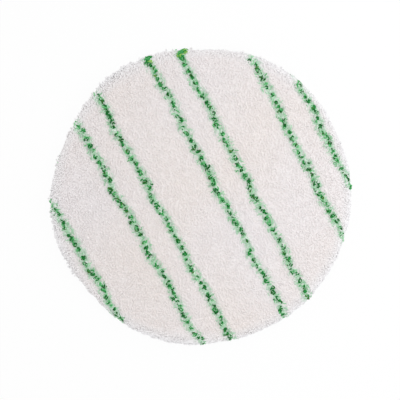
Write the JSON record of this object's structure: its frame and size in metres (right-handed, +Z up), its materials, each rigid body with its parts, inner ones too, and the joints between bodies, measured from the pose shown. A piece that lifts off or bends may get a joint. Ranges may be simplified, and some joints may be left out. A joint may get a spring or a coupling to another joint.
{
  "type": "floor polishing pad",
  "caption": "Round reversible tufted floor polishing pad of soft white yarn, with coarse green scrub strips across both faces and an overlocked rim hidden in the yarn.",
  "frame": {"origin": "under the middle of the pad's outline, at the level that the pad rests on", "axes": "+Z up out of the upper working face, +Y along the scrub strips, +X across them towards the rim where the last whole pair of strips lies"},
  "size_m": [0.5064, 0.51, 0.0263],
  "materials": {
    "white_yarn": "soft looped tufted yarn",
    "green_yarn": "coarse curled polypropylene yarn",
    "backing_cloth": "plain woven backing cloth",
    "seam_thread": "overlocked sewing thread"
  },
  "bodies": {
    "root": {"upper_backing": "backing_cloth", "lower_backing": "backing_cloth", "upper_pile_band_1": "white_yarn", "upper_pile_band_2": "white_yarn", "upper_pile_band_3": "white_yarn", "upper_pile_band_4": "white_yarn", "upper_pile_band_5": "white_yarn", "upper_pile_band_6": "white_yarn", "upper_pile_band_7": "white_yarn", "upper_pile_band_8": "white_yarn", "lower_pile_band_1": "white_yarn", "lower_pile_band_2": "white_yarn", "lower_pile_band_3": "white_yarn", "lower_pile_band_4": "white_yarn", "lower_pile_band_5": "white_yarn", "lower_pile_band_6": "white_yarn", "lower_pile_band_7": "white_yarn", "lower_pile_band_8": "white_yarn", "upper_scrub_strip_1": "green_yarn", "upper_scrub_strip_2": "green_yarn", "upper_scrub_strip_3": "green_yarn", "upper_scrub_strip_4": "green_yarn", "upper_scrub_strip_5": "green_yarn", "upper_scrub_strip_6": "green_yarn", "upper_scrub_strip_7": "green_yarn", "lower_scrub_strip_1": "green_yarn", "lower_scrub_strip_2": "green_yarn", "lower_scrub_strip_3": "green_yarn", "lower_scrub_strip_4": "green_yarn", "lower_scrub_strip_5": "green_yarn", "lower_scrub_strip_6": "green_yarn", "lower_scrub_strip_7": "green_yarn", "rim_overlock_seam": "seam_thread"}
  },
  "joints": []
}
